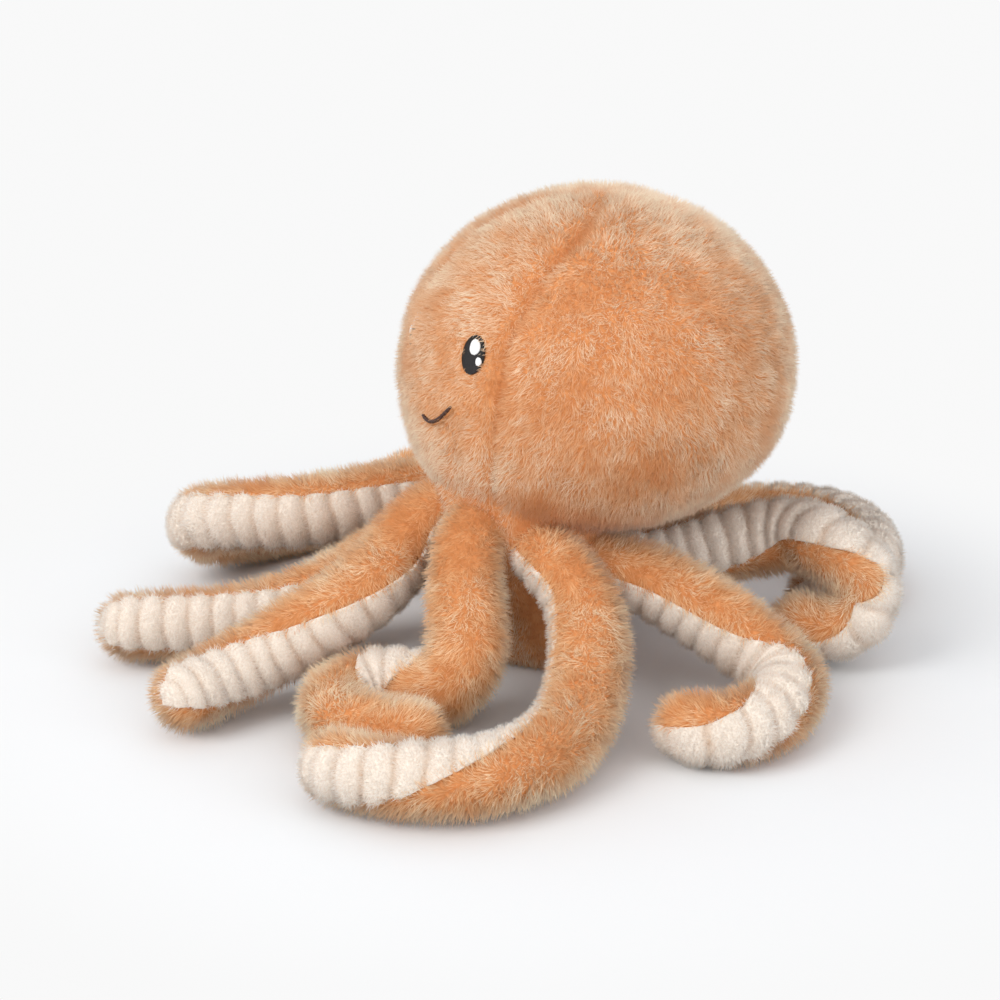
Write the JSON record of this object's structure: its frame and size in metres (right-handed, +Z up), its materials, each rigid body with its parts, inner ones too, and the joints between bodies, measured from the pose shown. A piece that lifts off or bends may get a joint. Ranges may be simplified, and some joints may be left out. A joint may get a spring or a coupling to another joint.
{
  "type": "plush octopus",
  "caption": "Sitting plush octopus: a round stuffed head on eight curled arms, orange pile on top, cream ribbed pile underneath, embroidered eyes and smile.",
  "frame": {"origin": "middle of the flat underside of the base, on the floor", "axes": "+Z up, the face looks to -Y, +X toward the toy's left arms"},
  "size_m": [0.3659, 0.4184, 0.228],
  "materials": {
    "orange_pile": "short orange fur pile on knitted backing",
    "cream_ribbed_pile": "cream ribbed short pile",
    "polyester_fibre": "loose polyester fibre",
    "pellet_bag_cloth": "woven bag filled with pellets",
    "black_thread": "black satin stitch",
    "white_thread": "white satin stitch",
    "brown_thread": "dark brown stem stitch"
  },
  "bodies": {
    "body": {"base_panel": "orange_pile", "face_panel": "orange_pile", "left_side_panel": "orange_pile", "right_side_panel": "orange_pile", "head_stuffing": "polyester_fibre", "pellet_bag": "pellet_bag_cloth", "mouth": "brown_thread", "left_eye": "black_thread", "left_eye_glint": "white_thread", "left_eye_spark": "white_thread", "right_eye": "black_thread", "right_eye_glint": "white_thread", "right_eye_spark": "white_thread"},
    "left_arm_1": {"left_arm_1_top": "orange_pile", "left_arm_1_underside": "cream_ribbed_pile", "left_arm_1_stuffing": "polyester_fibre"},
    "left_arm_2": {"left_arm_2_top": "orange_pile", "left_arm_2_underside": "cream_ribbed_pile", "left_arm_2_stuffing": "polyester_fibre"},
    "left_arm_3": {"left_arm_3_top": "orange_pile", "left_arm_3_underside": "cream_ribbed_pile", "left_arm_3_stuffing": "polyester_fibre"},
    "left_arm_4": {"left_arm_4_top": "orange_pile", "left_arm_4_underside": "cream_ribbed_pile", "left_arm_4_stuffing": "polyester_fibre"},
    "right_arm_1": {"right_arm_1_top": "orange_pile", "right_arm_1_underside": "cream_ribbed_pile", "right_arm_1_stuffing": "polyester_fibre"},
    "right_arm_2": {"right_arm_2_top": "orange_pile", "right_arm_2_underside": "cream_ribbed_pile", "right_arm_2_stuffing": "polyester_fibre"},
    "right_arm_3": {"right_arm_3_top": "orange_pile", "right_arm_3_underside": "cream_ribbed_pile", "right_arm_3_stuffing": "polyester_fibre"},
    "right_arm_4": {"right_arm_4_top": "orange_pile", "right_arm_4_underside": "cream_ribbed_pile", "right_arm_4_stuffing": "polyester_fibre"}
  },
  "joints": [
    {"name": "left_arm_1_lift", "type": "hinge", "parent": "body", "child": "left_arm_1", "pos_m": [0.0176, -0.0565, 0.09471], "axis": [-0.9239, -0.3827, 0], "range_deg": [0, 45]},
    {"name": "left_arm_2_lift", "type": "hinge", "parent": "body", "child": "left_arm_2", "pos_m": [0.0425, -0.0316, 0.08551], "axis": [-0.3827, -0.9239, 0], "range_deg": [0, 30]},
    {"name": "left_arm_3_lift", "type": "hinge", "parent": "body", "child": "left_arm_3", "pos_m": [0.0425, 0.0036, 0.07249], "axis": [0.3827, -0.9239, 0], "range_deg": [0, 8]},
    {"name": "left_arm_4_lift", "type": "hinge", "parent": "body", "child": "left_arm_4", "pos_m": [0.0176, 0.0285, 0.06329], "axis": [0.9239, -0.3827, 0], "range_deg": [0, 8]},
    {"name": "right_arm_1_lift", "type": "hinge", "parent": "body", "child": "right_arm_1", "pos_m": [-0.0176, -0.0565, 0.09471], "axis": [-0.9239, 0.3827, 0], "range_deg": [0, 45]},
    {"name": "right_arm_2_lift", "type": "hinge", "parent": "body", "child": "right_arm_2", "pos_m": [-0.0425, -0.0316, 0.08551], "axis": [-0.3827, 0.9239, 0], "range_deg": [0, 40]},
    {"name": "right_arm_3_lift", "type": "hinge", "parent": "body", "child": "right_arm_3", "pos_m": [-0.0425, 0.0036, 0.07249], "axis": [0.3827, 0.9239, 0], "range_deg": [0, 15]},
    {"name": "right_arm_4_lift", "type": "hinge", "parent": "body", "child": "right_arm_4", "pos_m": [-0.0176, 0.0285, 0.06329], "axis": [0.9239, 0.3827, 0], "range_deg": [0, 18]}
  ]
}
